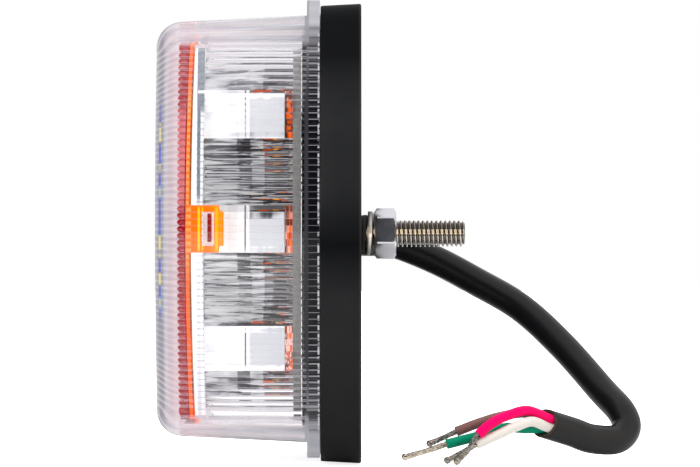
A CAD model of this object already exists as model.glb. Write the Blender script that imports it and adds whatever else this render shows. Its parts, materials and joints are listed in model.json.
"""Vehicle signal lamp with a clear fluted lens over red and amber inner lenses and chrome cups.

X runs from the lens front (negative) to the studs and cable at the back (positive), Y runs
across the lamp and Z is up. The camera looks along +Y. Shapes are drawn in millimetres and
turned into metres when a mesh is made.
"""
import json
import math
from types import SimpleNamespace

import bmesh
import bpy
import numpy as np
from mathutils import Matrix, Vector


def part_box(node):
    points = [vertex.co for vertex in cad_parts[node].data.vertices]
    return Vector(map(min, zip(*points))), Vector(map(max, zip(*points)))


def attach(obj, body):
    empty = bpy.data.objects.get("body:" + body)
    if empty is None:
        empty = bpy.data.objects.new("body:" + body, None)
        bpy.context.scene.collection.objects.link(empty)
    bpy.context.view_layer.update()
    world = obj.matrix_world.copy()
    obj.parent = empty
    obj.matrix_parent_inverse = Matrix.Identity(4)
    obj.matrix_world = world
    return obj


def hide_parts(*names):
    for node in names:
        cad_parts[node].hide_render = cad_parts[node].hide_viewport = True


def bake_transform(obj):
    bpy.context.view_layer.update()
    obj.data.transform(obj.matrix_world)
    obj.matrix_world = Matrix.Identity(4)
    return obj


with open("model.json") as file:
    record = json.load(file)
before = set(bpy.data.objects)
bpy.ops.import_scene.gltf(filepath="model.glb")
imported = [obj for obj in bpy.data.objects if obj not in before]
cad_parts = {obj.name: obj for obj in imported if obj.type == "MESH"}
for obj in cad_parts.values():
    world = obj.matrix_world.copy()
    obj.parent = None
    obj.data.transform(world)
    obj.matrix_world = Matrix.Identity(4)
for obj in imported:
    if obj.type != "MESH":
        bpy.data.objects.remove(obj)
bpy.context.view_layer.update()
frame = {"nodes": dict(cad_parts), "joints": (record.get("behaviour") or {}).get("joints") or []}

MM = 0.001
NODES = frame["nodes"]
JOINTS = {joint["name"]: joint for joint in frame["joints"]}


def box_mm(node):
    low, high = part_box(node)
    return np.array(low) / MM, np.array(high) / MM


# ================================================================= shader helpers
def operator(operation, swapped=False):
    """A Signal method that adds one maths node."""
    def method(self, other=0.0):
        first, second = (other, self) if swapped else (self, other)
        return self.tree.add("ShaderNodeMath", first, second, 0.0,
                             settings=dict(operation=operation))
    return method


class Signal:
    """One output of a shader node. Arithmetic on it adds maths nodes."""

    __add__ = operator("ADD")
    __radd__ = operator("ADD", swapped=True)
    __sub__ = operator("SUBTRACT")
    __rsub__ = operator("SUBTRACT", swapped=True)
    __mul__ = operator("MULTIPLY")
    __truediv__ = operator("DIVIDE")
    __abs__ = operator("ABSOLUTE")
    max = operator("MAXIMUM")
    square_root = operator("SQRT")
    fraction = operator("FRACT")
    arcsine = operator("ARCSINE")

    def __init__(self, tree, node, key=0):
        self.tree, self.node, self.key = tree, node, key

    def output(self, key):
        return Signal(self.tree, self.node, key)

    def clamped(self):
        self.node.use_clamp = True
        return self

    def step(self, low, high):
        """Smooth 0 to 1 as the value goes from low to high."""
        return self.tree.add("ShaderNodeMapRange", self, low, high, 0.0, 1.0,
                             settings=dict(interpolation_type="SMOOTHSTEP"))

    def band(self, low, high, soft):
        """1 between low and high, with edges as wide as soft on either side."""
        return (self.step(low - soft, low + soft)
                * (1.0 - self.step(high - soft, high + soft)))

    def split(self):
        parts = self.tree.add("ShaderNodeSeparateXYZ", self)
        return [parts.output(i) for i in range(3)]

    def noise(self, scale, detail=3.0, rough=0.6, stretch=None):
        where = self
        if stretch:
            where = self.tree.add("ShaderNodeMapping", Vector=self, Scale=stretch)
        return self.tree.add("ShaderNodeTexNoise", Vector=where, Scale=scale, Detail=detail,
                             Roughness=rough).output("Fac")

    def bump(self, strength, depth):
        """Surface normal from this height; depth is in millimetres."""
        return self.tree.add("ShaderNodeBump", Height=self, Strength=strength,
                             Distance=depth * MM)

    def ramp(self, stops):
        """Colour ramp through (position, colour) stops."""
        ramp = self.tree.add("ShaderNodeValToRGB", self)
        elements = ramp.node.color_ramp.elements
        while len(elements) > 1:
            elements.remove(elements[-1])
        elements[0].position = stops[0][0]
        elements[0].color = (*stops[0][1], 1.0)
        for position, colour in stops[1:]:
            elements.new(position).color = (*colour, 1.0)
        return ramp


class Tree:
    """The emptied node tree of a material or world."""

    def __init__(self, owner):
        self.owner, self.data = owner, owner.node_tree
        self.data.nodes.clear()

    def add(self, kind, *values, settings=None, **named):
        """New node fed by socket number, then by socket name with _ for a space."""
        node = self.data.nodes.new(kind)
        for key, value in (settings or {}).items():
            setattr(node, key, value)
        inputs = list(enumerate(values))
        inputs += [(key.replace("_", " "), value) for key, value in named.items()]
        for key, value in inputs:
            target = node.inputs[key]
            if isinstance(value, Signal):
                self.data.links.new(value.node.outputs[value.key], target)
            elif target.type == "RGBA" and len(value) == 3:
                target.default_value = (*value, 1.0)
            else:
                target.default_value = value
        return Signal(self, node)

    def position(self):
        """Object position in millimetres."""
        where = self.add("ShaderNodeTexCoord").output("Object")
        return self.add("ShaderNodeVectorMath", where, Scale=1000.0,
                        settings=dict(operation="SCALE"))

    def normal_x(self):
        return self.add("ShaderNodeNewGeometry").output("Normal").split()[0]

    def attribute(self, name):
        return self.add("ShaderNodeAttribute", settings=dict(attribute_name=name)).output("Fac")

    def mix(self, factor, first, second):
        node = self.add("ShaderNodeMix", settings=dict(data_type="RGBA")).node
        for target, value in ((node.inputs["Factor"], factor), (node.inputs[6], first),
                              (node.inputs[7], second)):
            if isinstance(value, Signal):
                self.data.links.new(value.node.outputs[value.key], target)
            else:
                target.default_value = (*value, 1.0) if isinstance(value, tuple) else value
        return Signal(self, node, 2)

    def principled(self, colour, roughness, **others):
        return self.add("ShaderNodeBsdfPrincipled", Base_Color=colour, Roughness=roughness,
                        **others)

    def emission(self, colour, strength=1.0):
        return self.add("ShaderNodeEmission", Color=colour, Strength=strength)

    def blend(self, factor, below, above):
        return self.add("ShaderNodeMixShader", factor, below, above)

    def surface(self, shader, kind="ShaderNodeOutputMaterial"):
        self.add(kind, Surface=shader)
        return self.owner


def material_tree(name):
    material = bpy.data.materials.new(name)
    material.use_nodes = True
    return Tree(material)


def grey(value):
    return (value, value, value)


def see_through(tree, solid, tint):
    """Lets light rays pass so that the inside is lit, while the eye sees the solid shader."""
    passing_share = 1.0
    path = tree.add("ShaderNodeLightPath")
    passing = tree.add("ShaderNodeBsdfTransparent", Color=tint)
    light_ray = path.output("Is Shadow Ray").max(path.output("Is Diffuse Ray"))
    return tree.blend(light_ray * passing_share, solid, passing)


def flute_phase(z):
    """Runs 0 to 1 across each flute of the lens side, by height."""
    middle, radius, flute_angle = 1.0, 84.6, 0.017376
    return (((z - middle) / radius).arcsine() / flute_angle + 0.5).fraction()


def height_in_row(z):
    """Height above the middle of the nearest row of cups."""
    pitch = 25.7
    shifted = (z - 0.5) + 1.5 * pitch
    return (shifted / pitch).fraction() * pitch - pitch / 2


# ====================================================================== materials
# In these functions steps and bands along x, y and z are in millimetres, and the number a
# mask is multiplied by is its strength.
def speckled(name, colour, second, roughness, grain=3.0, bump=0.1, bump_depth=0.02,
             specular=0.5, coat=0.0, mottle=0.35):
    """A plain moulded or sprayed surface with fine grain and slight colour variation."""
    variation = 0.08
    tree = material_tree(name)
    where = tree.position()
    fine = where.noise(grain)
    broad = where.noise(0.12, rough=0.55)
    shade = tree.mix(fine.step(0.35, 0.7) * mottle, colour, second)
    shade = tree.mix(broad.step(0.45, 0.75) * 0.35, shade, second)
    rough = (roughness - variation / 2) + fine * variation + broad * variation
    return tree.surface(tree.principled(
        shade, rough, Specular_IOR_Level=specular, Coat_Weight=coat,
        Normal=fine.bump(bump, bump_depth)))


def housing_black():
    """Satin plastic: fine grain, uneven sheen by height, a scuffed line round the back edge."""
    tree = material_tree("black_plastic")
    where = tree.position()
    x, _, z = where.split()
    fine = where.noise(9.0)
    broad = where.noise(0.12, rough=0.55)
    # sheen from the bottom of the housing (0) to its top (1)
    sheen = ((z + 51.0) / 102.0).ramp([(share, grey(value)) for share, value in (
        (0.0, 0.16), (0.20, 0.20), (0.36, 0.22), (0.43, 0.12), (0.475, 0.03), (0.53, 0.14),
        (0.60, 0.36), (0.74, 0.38), (0.82, 0.22), (0.885, 0.05), (1.0, 0.04))])
    sheen = tree.mix(x.step(-9.7, -9.3), grey(0.015), sheen)
    base = tree.mix(fine, (0.0016, 0.0018, 0.0024), (0.0042, 0.0046, 0.0056))
    base = tree.mix((sheen * 1.6).clamped(), base, (0.0078, 0.0084, 0.0098))
    beside = abs(tree.normal_x()).step(0.85, 0.45)
    scuffed = x.step(-0.6, -0.3) * beside
    base = tree.mix(scuffed * fine.step(0.35, 0.8), base, (0.055, 0.047, 0.04))
    rough = 0.40 + fine * 0.14 + broad * 0.06
    return tree.surface(tree.principled(
        base, rough, Specular_IOR_Level=sheen * (0.55 + broad * 0.4),
        Normal=fine.bump(0.22, depth=0.02)))


def lens_glass(tree, spot):
    """Faintly wavy and dusty glass, pinkish towards its upper and lower front corners."""
    flow = spot.where.noise(0.16, detail=2.0, rough=0.5, stretch=(0.35, 1.0, 1.0))
    dust = spot.where.noise(14.0, detail=2.0, rough=0.5)
    tint = tree.mix(flow.step(0.35, 0.7), (0.99, 0.985, 0.995), (0.97, 0.97, 0.99))
    corner = abs(spot.z - 1.0).step(36.0, 43.0) * (1.0 - spot.x.step(-40.0, -27.0))
    tint = tree.mix(corner * 0.75, tint, (0.96, 0.87, 0.90))
    return tree.principled(
        tint, dust.step(0.62, 0.8) * 0.05, IOR=1.49, Transmission_Weight=1.0,
        Specular_Tint=tree.mix(spot.inner, grey(1.0), grey(0.1)),
        Normal=flow.bump(0.35, depth=0.05))


def lens_crests(tree, spot, below):
    """The crests between flutes catch the light as fine pale lines."""
    far_up = spot.height.step(20.0, 34.0).max(0.16)
    lines = spot.crest * far_up * (0.16 + spot.uneven * 0.6)
    return tree.blend(lines, below, tree.emission((0.64, 0.60, 0.66)))


def lens_haze(tree, spot, below):
    """The thick front edge and rounded corners scatter light: pale lilac haze with flutes."""
    x, flute, height = spot.x, spot.flute, spot.height
    turned_away = 1.0 - abs(tree.normal_x()).step(0.985, 0.999)
    outside = (1.0 - spot.inner) * turned_away
    saw = x + flute * -0.62
    at_front = (1.0 - saw.step(-40.45, -40.2)) * 0.84
    at_corner = abs(spot.z + 0.1).step(40.9, 43.2) * abs(spot.y).step(30.0, 34.0) * 0.76
    # shade from the lens front (0) to x = -6 (1)
    shade = ((x + 46.0) / 40.0).ramp([
        (0.0, (0.80, 0.80, 0.82)), (0.02, (0.58, 0.58, 0.61)), (0.04, (0.36, 0.35, 0.40)),
        (0.058, (0.40, 0.385, 0.44)), (0.08, (0.60, 0.56, 0.62)), (0.115, (0.72, 0.67, 0.72)),
        (0.13, (0.86, 0.76, 0.79)), (0.16, (0.80, 0.70, 0.745)), (0.35, (0.70, 0.62, 0.65)),
        (0.50, (0.63, 0.60, 0.64)), (0.72, (0.50, 0.495, 0.53)), (0.83, (0.40, 0.40, 0.43)),
        (0.9, (0.20, 0.20, 0.225)), (1.0, (0.22, 0.22, 0.24))])
    ends = height.step(43.6, 46.6) * (x.step(-44.5, -42.5) * 0.6)
    shade = tree.mix(ends, shade, (0.82, 0.81, 0.835))
    ripple = spot.where.noise(0.5, rough=0.65, stretch=(0.5, 1.0, 2.2))
    shade = tree.mix(ripple.step(0.42, 0.62) * 0.28, shade, (0.44, 0.41, 0.50))
    pinkish = flute.band(0.02, 0.22, 0.05) * height.step(24.0, 32.0)
    shade = tree.mix(pinkish * 0.35, shade, (0.90, 0.70, 0.72))
    shade = tree.mix(spot.crest * (0.25 + spot.uneven * 0.75), shade, (0.45, 0.42, 0.51))
    pale_line = 1.0 - flute.step(0.03, 0.22)
    shade = tree.mix(pale_line * 0.30, shade, (0.93, 0.90, 0.93))
    return tree.blend(at_front.max(at_corner) * outside, below, tree.emission(shade))


def outer_flange(spot, along):
    """Narrows a mask along x to the outer skin of the flange."""
    return along * (1.0 - spot.inner) * abs(spot.y).max(spot.height).step(40.0, 42.0)


def lens_flange(tree, spot, below):
    """The flange over the black skirt: dark blocks between pale bars, a bar to each flute."""
    height = spot.height
    flange = outer_flange(spot, spot.x.step(-11.6, -11.5))
    bar_from = 0.93 - height.step(8.0, 50.0) * 0.62
    bar = (spot.flute - bar_from).step(-0.08, 0.06) * (0.40 + spot.uneven * 0.7)
    block = tree.mix(height.step(30.0, 44.0), (0.006, 0.006, 0.008), (0.10, 0.10, 0.115))
    bars = tree.mix(bar, block, (0.42, 0.42, 0.46))
    ends = tree.mix(spot.z.step(0.0, 1.0), (0.30, 0.31, 0.35), (0.52, 0.53, 0.57))
    bars = tree.mix(height.step(43.5, 45.5), bars, ends)
    return tree.blend(flange * 0.72, below, tree.emission(bars))


def lens_flange_edge(tree, spot, below):
    """The front edge of the flange is dull and dark."""
    edge = outer_flange(spot, spot.x.band(-12.5, -11.55, 0.05))
    tone = tree.mix(spot.height.step(30.0, 46.0), (0.045, 0.045, 0.052), (0.36, 0.36, 0.385))
    return tree.blend(edge * 0.85, below, tree.emission(tone))


def lens_marks(tree, spot, below):
    """Coloured line where the front edge splits the light, and a ragged bright flange edge."""
    x, z, where = spot.x, spot.z, spot.where
    only_z = (0.0, 0.0, 1.0)
    split_line = x.band(-44.45, -43.95, 0.08) * z.band(-18.0, 36.0, 3.0)
    slow = where.noise(0.16, detail=2.0, rough=0.4, stretch=only_z)
    quick = where.noise(1.1, detail=1.0, rough=0.4, stretch=only_z)
    hue = (slow + z.step(8.0, 18.0) * 0.22 * (quick - 0.5)).ramp([
        (0.30, (0.80, 0.72, 0.35)), (0.40, (0.18, 0.42, 0.85)), (0.47, (0.10, 0.12, 0.75)),
        (0.53, (0.20, 0.24, 0.50)), (0.57, (0.95, 0.78, 0.22)), (0.66, (0.85, 0.80, 0.45)),
        (0.8, (0.3, 0.3, 0.4))])
    patches = where.noise(1.5, detail=2.0, stretch=(0.3, 0.3, 1.0))
    ragged = x.step(-9.62, -9.5) * patches.step(0.42, 0.56)
    colour = tree.mix(x.step(-20.0, -19.0), hue, (0.72, 0.73, 0.76))
    marks = (split_line * 0.8).max(ragged * 0.8) * abs(spot.y).step(36.0, 41.0)
    return tree.blend(marks * (1.0 - spot.inner), below, tree.emission(colour))


def clear_acrylic():
    """The clear lens: glass with layers of pale lines, haze, bars and coloured marks."""
    tree = material_tree("clear_lens")
    where = tree.position()
    x, y, z = where.split()
    flute = tree.attribute("flute")
    spot = SimpleNamespace(
        where=where, x=x, y=y, z=z, flute=flute, inner=tree.attribute("inner"),
        height=abs(z - 1.0), crest=flute.step(0.55, 0.98),
        uneven=where.noise(0.35, detail=2.0, stretch=(0.25, 1.0, 3.0)))
    shader = lens_glass(tree, spot)
    for layer in (lens_crests, lens_haze, lens_flange, lens_flange_edge, lens_marks):
        shader = layer(tree, spot, shader)
    return tree.surface(see_through(tree, shader, (0.93, 0.93, 0.94)))


def red_edge(tree, spot, colour, deep, light):
    """Lit, dark and speckled stripes in step with the flutes, and a grey body behind."""
    lit = spot.phase.band(0.30, 0.52, 0.08) * spot.blotch.step(0.36, 0.62)
    colour = tree.mix(lit * 0.5, colour, light)
    colour = tree.mix(spot.phase.band(0.62, 0.95, 0.08) * 0.5, colour, deep)
    speck = spot.phase.band(0.05, 0.16, 0.04) * spot.fine.step(0.42, 0.58)
    colour = tree.mix(speck * 0.6, colour, (0.75, 0.36, 0.38))
    bar = spot.x.band(-33.75, -32.85, 0.06)
    body = tree.mix(bar, (0.72, 0.70, 0.70), (0.20, 0.006, 0.006))
    return tree.mix(spot.x.step(-37.2, -36.8), colour, body)


def amber_edge(tree, spot, colour, deep, light):
    """Three bright upright lines, a redder tail and a pale line along the front rim."""
    x = spot.x
    tall = x.band(-35.85, -35.35, 0.12).max(x.band(-34.95, -34.6, 0.1) * 0.8)
    tall = tall.max(x.band(-31.95, -31.45, 0.14)) * spot.z.band(-3.6, 5.6, 0.5)
    colour = tree.mix(tall * 0.85, colour, (1.0, 0.5, 0.0))
    colour = tree.mix(x.step(-33.9, -31.0) * 0.6, colour, (1.0, 0.25, 0.0))
    pale = (1.0 - x.step(-37.45, -37.2)) * spot.phase.band(0.2, 0.6, 0.12)
    return tree.mix(pale * spot.along * 0.35, colour, (1.0, 0.45, 0.2))


def pale_mirror(tree, spot, shown):
    """Mirrored in the clear front, the panel's face looks pale."""
    path = tree.add("ShaderNodeLightPath")
    again = path.output("Glossy Depth").step(0.4, 0.6).max(
        path.output("Transmission Depth").step(2.4, 2.6))
    facing = 1.0 - spot.normal_x.step(-0.75, -0.4)
    veil = tree.emission((0.80, 0.70, 0.745), strength=0.95)
    return tree.blend(again * facing * 0.9, shown, veil)


def tinted_acrylic(name, glass, edge, glow, shadow, lit_band, edge_detail, finish=None):
    """Coloured clear plastic: glass on its faces, a richer colour on its moulded edges.

    glass and edge are pairs of colours; lit_band is the bright part of the edge by height.
    """
    tree = material_tree(name)
    where = tree.position()
    x, _, z = where.split()
    fine = where.noise(2.2)
    normal_x = tree.normal_x()
    face = tree.add("ShaderNodeBsdfGlass", IOR=1.49, Roughness=0.06,
                    Color=tree.mix(fine.step(0.3, 0.7), *glass),
                    Normal=fine.bump(0.15, depth=0.03))
    spot = SimpleNamespace(x=x, z=z, fine=fine, normal_x=normal_x, along=z.band(*lit_band),
                           blotch=where.noise(0.9, detail=2.0), phase=flute_phase(z))
    colour = tree.mix((spot.along * (0.55 + spot.blotch * 0.7)).clamped(), *edge)
    colour = tree.mix(fine.step(0.5, 0.72) * 0.35, colour, edge[1])
    colour = edge_detail(tree, spot, colour, *edge)
    moulded = tree.principled(colour, 0.25, Emission_Color=colour, Emission_Strength=glow,
                              Specular_IOR_Level=0.08)
    shown = tree.blend(abs(normal_x).step(0.8, 0.4), face, moulded)
    if finish:
        shown = finish(tree, spot, shown)
    return tree.surface(see_through(tree, shown, shadow))


STREAKED = dict(detail=2.0, stretch=(0.12, 0.3, 1.6))  # noise drawn out along x


def metallised():
    """Bright metal skin of the cups, streaked and patched on its sides away from y = 0."""
    tree = material_tree("metallised_plastic")
    where = tree.position()
    x, y, z = where.split()
    waves = where.noise(0.35, detail=2.0, rough=0.5)
    fine = where.noise(5.0)
    colour = tree.mix(waves, (0.93, 0.94, 0.96), (0.84, 0.86, 0.89))
    level = height_in_row(z)
    outer_side = abs(y).step(4.0, 10.0)
    # dark patches below and above each cup
    under = level.band(-10.3, -5.25, 0.12) * (
        (x.band(-27.4, -24.6, 0.06) * 0.85).max(x.band(-21.7, -16.0, 0.06) * 0.7))
    over = level.band(5.9, 8.4, 0.12) * x.band(-21.7, -16.0, 0.06)
    patch = under.max(over * 0.75) * outer_side
    patch = patch * where.noise(0.9, **STREAKED).step(0.36, 0.52)
    colour = tree.mix(patch, colour, (0.085, 0.085, 0.095))
    metal = tree.principled(colour, 0.09 + fine * 0.1, Metallic=1.0,
                            Normal=waves.bump(0.5, depth=0.25))
    # bright and dark streaks of the surroundings, lying along the lamp
    streaks = where.noise(0.72, rough=0.66, stretch=(0.09, 0.25, 1.6))
    dim = x.step(-21.8, -21.6) * 0.055 + (1.0 - level.band(-4.6, 5.4, 0.6)) * 0.045
    dim = dim + (0.012 + x.band(-27.5, -24.5, 0.1) * 0.03)
    tone = (streaks - dim).ramp([
        (0.0, (0.012, 0.012, 0.014)), (0.385, (0.02, 0.02, 0.024)), (0.415, (0.30, 0.30, 0.33)),
        (0.46, (0.60, 0.60, 0.62)), (0.52, grey(0.88)), (0.58, grey(0.93)),
        (0.64, (0.62, 0.63, 0.66)), (1.0, (0.75, 0.76, 0.78))])
    tone = tree.mix(patch * 0.9, tone, (0.03, 0.03, 0.034))
    shiny = tree.blend(outer_side * 0.74, metal, tree.emission(tone, strength=0.82))
    # warm glints of the amber light sources on the outer skins of the cups
    high = level.band(5.2, 5.75, 0.12) * x.band(-24.2, -15.9, 0.8)
    low = level.band(-7.0, -6.5, 0.1).max(level.band(-8.7, -8.25, 0.1))
    glint = high.max(low * x.band(-21.7, -15.6, 0.4)) * outer_side
    breaks = where.noise(0.5, detail=2.0, rough=0.5, stretch=(1.0, 0.3, 0.3))
    glint = glint * breaks.step(0.34, 0.5)
    hot = x.band(-19.6, -18.2, 0.4) * 0.9
    warm = tree.emission(tree.mix(hot, (0.62, 0.075, 0.0), (1.0, 0.42, 0.0)), strength=0.85)
    return tree.surface(tree.blend(glint, shiny, warm))


def satin_pillar():
    """The row ends: sprayed white towards the lens, greyer towards the board."""
    tree = material_tree("pillar_satin")
    where = tree.position()
    x, _, z = where.split()
    fine = where.noise(6.0)
    shade = tree.mix(x.step(-24.8, -24.3), grey(0.90), (0.62, 0.63, 0.65))
    shade = tree.mix(fine.step(0.4, 0.7) * 0.25, shade, (0.7, 0.71, 0.74))
    phase = flute_phase(z)
    groove = x.band(-25.68, -25.34, 0.07) * (0.25 + phase.band(0.1, 0.6, 0.1) * 0.7)
    shade = tree.mix(groove, shade, (0.05, 0.04, 0.035))
    dashes = phase.band(0.35, 0.62, 0.08) * x.band(-29.4, -27.2, 0.3)
    dashes = dashes.max(phase.band(0.3, 0.5, 0.05) * x.band(-24.2, -17.0, 0.5))
    shade = tree.mix(dashes * 0.28, shade, (0.42, 0.45, 0.5))
    # blotches of reflected light, and dark and bright bars along the upper and lower ends
    level = height_in_row(z)
    blotch = where.noise(0.55, stretch=(0.5, 1.0, 1.3)).step(0.5, 0.68)
    shade = tree.mix(blotch * 0.4, shade, (0.55, 0.56, 0.60))
    ragged = (where.noise(0.8, detail=2.0, stretch=(0.4, 1.0, 1.0)) - 0.5) * 0.5
    from_middle = abs(level + 0.15) + ragged
    rear = x.step(-24.6, -24.4)
    thin = from_middle.band(3.25, 3.6, 0.08) * (0.25 + rear * 0.75)
    outer = from_middle.step(4.5, 4.65) * (0.35 + rear * 0.6)
    streak = where.noise(0.9, **STREAKED).step(0.34, 0.5)
    bars = thin.max(outer) * (0.35 + streak * 0.65)
    shade = tree.mix(bars, shade, (0.03, 0.03, 0.034))
    shade = tree.mix(from_middle.band(3.85, 4.4, 0.06) * 0.9, shade, (0.95, 0.95, 0.96))
    return tree.surface(tree.principled(
        shade, 0.35, Metallic=0.1, Emission_Color=shade, Emission_Strength=0.26,
        Normal=fine.bump(0.15, depth=0.03)))


def rim_paint():
    """The reflector's rim: white with a broad blue-grey shadow line along its edge."""
    tree = material_tree("reflector_rim")
    where = tree.position()
    x, _, z = where.split()
    line = x.band(-36.05, -35.3, 0.16)
    wide = x.band(-36.1, -34.5, 0.1) * z.step(25.0, 28.0)
    shade = tree.mix(line.max(wide) * z.step(5.0, 9.0), (0.92, 0.92, 0.93),
                     (0.12, 0.15, 0.18))
    ticks = flute_phase(z).band(0.42, 0.6, 0.06) * x.band(-36.2, -34.4, 0.1)
    shade = tree.mix(ticks * 0.55, shade, (0.2, 0.22, 0.25))
    lower = 1.0 - z.step(-9.0, -6.0)
    shade = tree.mix(line * lower * 0.35, shade, (0.3, 0.33, 0.37))
    shade = tree.mix(where.noise(3.0).step(0.45, 0.7) * 0.2, shade, (0.75, 0.77, 0.8))
    return tree.surface(tree.principled(
        shade, 0.3, Metallic=0.2, Emission_Color=shade, Emission_Strength=0.25))


def led_amber():
    """Amber with cell-like spots, dark outlines and bands in step with the flutes."""
    tree = material_tree("led_amber")
    where = tree.position()
    x, _, z = where.split()
    cells = tree.add("ShaderNodeTexVoronoi", Vector=where, Scale=0.9).output("Distance")
    phase = flute_phase(z)
    colour = tree.mix(cells.step(0.42, 0.2) * 0.35, (0.66, 0.075, 0.0), (0.95, 0.25, 0.05))
    wavy = -16.45 + (where.noise(0.9, detail=2.0, rough=0.5) - 0.5) * 0.7
    near_edge = 1.0 - (x - wavy).step(-0.12, 0.12)
    colour = tree.mix(near_edge, colour, (0.035, 0.006, 0.0))
    colour = tree.mix(cells.step(0.50, 0.62) * 0.85, colour, (0.04, 0.008, 0.0))
    dark = phase.band(0.62, 0.98, 0.05) * where.noise(0.8, detail=2.0).step(0.40, 0.5)
    colour = tree.mix(dark, colour, (0.02, 0.006, 0.0))
    dots = phase.band(0.28, 0.5, 0.07) * where.noise(1.7, detail=2.0).step(0.47, 0.55)
    colour = tree.mix(dots * 0.8, colour, (1.0, 0.62, 0.55))
    return tree.surface(tree.principled(
        colour, 0.3, Emission_Color=colour, Emission_Strength=0.25, Specular_IOR_Level=0.05))


def steel(name, bright, dull, roughness, pit_scale, pit_bump, warm=0.0, uneven=0.16):
    """Bare metal with a tumbled, slightly pitted skin."""
    tree = material_tree(name)
    where = tree.position()
    pits = where.noise(pit_scale, detail=4.0, rough=0.65)
    broad = where.noise(0.5, detail=2.0, rough=0.5)
    colour = tree.mix(pits.step(0.3, 0.72), dull, bright)
    colour = tree.mix(broad.step(0.4, 0.7) * warm, colour, (0.72, 0.60, 0.46))
    rough = roughness + pits.step(0.35, 0.75) * uneven
    return tree.surface(tree.principled(colour, rough, Metallic=1.0,
                                        Normal=pits.bump(pit_bump, depth=0.02)))


def stud_steel():
    """Rolled thread: a bright band along its side, dark roots, warm where it is bright."""
    stud_offset = 25.0  # distance of each stud's axis from y = 0
    tree = material_tree("stud_steel")
    where = tree.position()
    _, y, z = where.split()
    pits = where.noise(2.4)
    # from the underside of the thread (0) to its top (1)
    by_height = ((z + 3.1) / 6.2).ramp([
        (0.0, (0.46, 0.46, 0.48)), (0.12, (0.40, 0.385, 0.37)), (0.40, (0.50, 0.46, 0.41)),
        (0.425, (0.07, 0.06, 0.05)), (0.46, (0.09, 0.075, 0.06)), (0.475, (0.95, 0.80, 0.60)),
        (0.63, (1.0, 0.90, 0.74)), (0.66, (0.10, 0.085, 0.065)), (0.76, (0.13, 0.11, 0.085)),
        (0.85, (0.24, 0.20, 0.16)), (1.0, (0.30, 0.26, 0.22))])
    colour = tree.mix(0.82, (0.62, 0.59, 0.55), by_height)
    colour = tree.mix(pits.step(0.35, 0.7) * 0.25, colour, (0.5, 0.46, 0.4))
    from_axis = tree.add("ShaderNodeCombineXYZ", 0.0, abs(y) - stud_offset, z)
    radius = tree.add("ShaderNodeVectorMath", from_axis,
                      settings=dict(operation="LENGTH")).output("Value")
    root = 1.0 - radius.step(2.42, 2.66)
    colour = tree.mix(root * 0.75, colour, (0.07, 0.06, 0.05))
    across = abs(y) - stud_offset
    away = (across * across + z * z).square_root()
    lit = z.band(-0.12, 0.95, 0.06) * away.step(2.52, 2.75)
    return tree.surface(tree.principled(
        colour, 0.13 + pits * 0.1, Metallic=1.0, Normal=pits.bump(0.05, depth=0.02),
        Emission_Color=(1.0, 0.80, 0.56), Emission_Strength=lit * 0.30))


def washer_steel():
    """Steel band: warm bright middle, dark towards its top and bottom."""
    tree = material_tree("washer_steel")
    where = tree.position()
    z = where.split()[2]
    pits = where.noise(2.2)
    shade = ((z + 5.0) / 10.0).ramp([
        (0.0, (0.16, 0.15, 0.14)), (0.1, (0.34, 0.33, 0.32)), (0.30, (0.46, 0.43, 0.40)),
        (0.44, (0.80, 0.68, 0.55)), (0.62, (0.95, 0.84, 0.70)), (0.70, (0.50, 0.47, 0.44)),
        (0.88, (0.30, 0.29, 0.28)), (0.97, (0.10, 0.10, 0.10))])
    colour = tree.mix(pits.step(0.35, 0.7) * 0.25, shade, (0.3, 0.28, 0.26))
    return tree.surface(tree.principled(
        colour, 0.24 + pits * 0.12, Metallic=1.0, Normal=pits.bump(0.08, depth=0.02),
        Emission_Color=(1.0, 0.84, 0.66), Emission_Strength=z.band(-0.7, 1.4, 0.5) * 0.28))


def jacket():
    """Soft black sheath with faint scuffs; the cut end shows a brown-black core."""
    tree = material_tree("cable_jacket_skin")
    where = tree.position()
    fine = where.noise(4.5)
    scuff = where.noise(0.7, detail=4.0, rough=0.7, stretch=(0.4, 1.0, 1.0))
    colour = tree.mix(scuff.step(0.5, 0.78) * 0.5, (0.0030, 0.0032, 0.0040),
                      (0.0085, 0.0085, 0.0092))
    cut = tree.attribute("cut")
    inside = tree.mix(fine.step(0.3, 0.7), (0.014, 0.008, 0.006), (0.075, 0.05, 0.035))
    colour = tree.mix(cut, colour, inside)
    return tree.surface(tree.principled(
        colour, (0.28 + fine * 0.10) - cut * 0.2, Specular_IOR_Level=0.26, Sheen_Weight=0.02,
        Normal=fine.bump(0.2, depth=0.03)))


BLACK = housing_black()
CLEAR = clear_acrylic()
RED = tinted_acrylic(
    "red_lens", glass=((0.75, 0.02, 0.03), (0.85, 0.05, 0.06)),
    edge=((0.21, 0.001, 0.009), (0.50, 0.15, 0.16)), glow=0.36, shadow=(0.85, 0.35, 0.35),
    lit_band=(6.0, 27.0, 2.0), edge_detail=red_edge, finish=pale_mirror)
AMBER = tinted_acrylic(
    "amber_lens", glass=((1.0, 0.32, 0.02), (1.0, 0.42, 0.04)),
    edge=((1.0, 0.085, 0.0), (1.0, 0.12, 0.0)), glow=0.62, shadow=(0.97, 0.8, 0.6),
    lit_band=(-7.5, 31.5, 4.0), edge_detail=amber_edge)
CHROME = metallised()
PILLAR = satin_pillar()
RIM_SKIN = rim_paint()
BOARD = speckled("board", (0.19, 0.186, 0.175), (0.29, 0.28, 0.26), roughness=0.6, grain=4.5,
                 bump=0.3, bump_depth=0.05, mottle=0.8)
SEAL = speckled("seal_rubber", (0.012, 0.012, 0.013), grey(0.03), roughness=0.7, grain=6.0)
LED_WHITE = speckled("led_body", (0.82, 0.80, 0.72), (0.72, 0.70, 0.6), roughness=0.32,
                     grain=4.0, coat=0.3)
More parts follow.
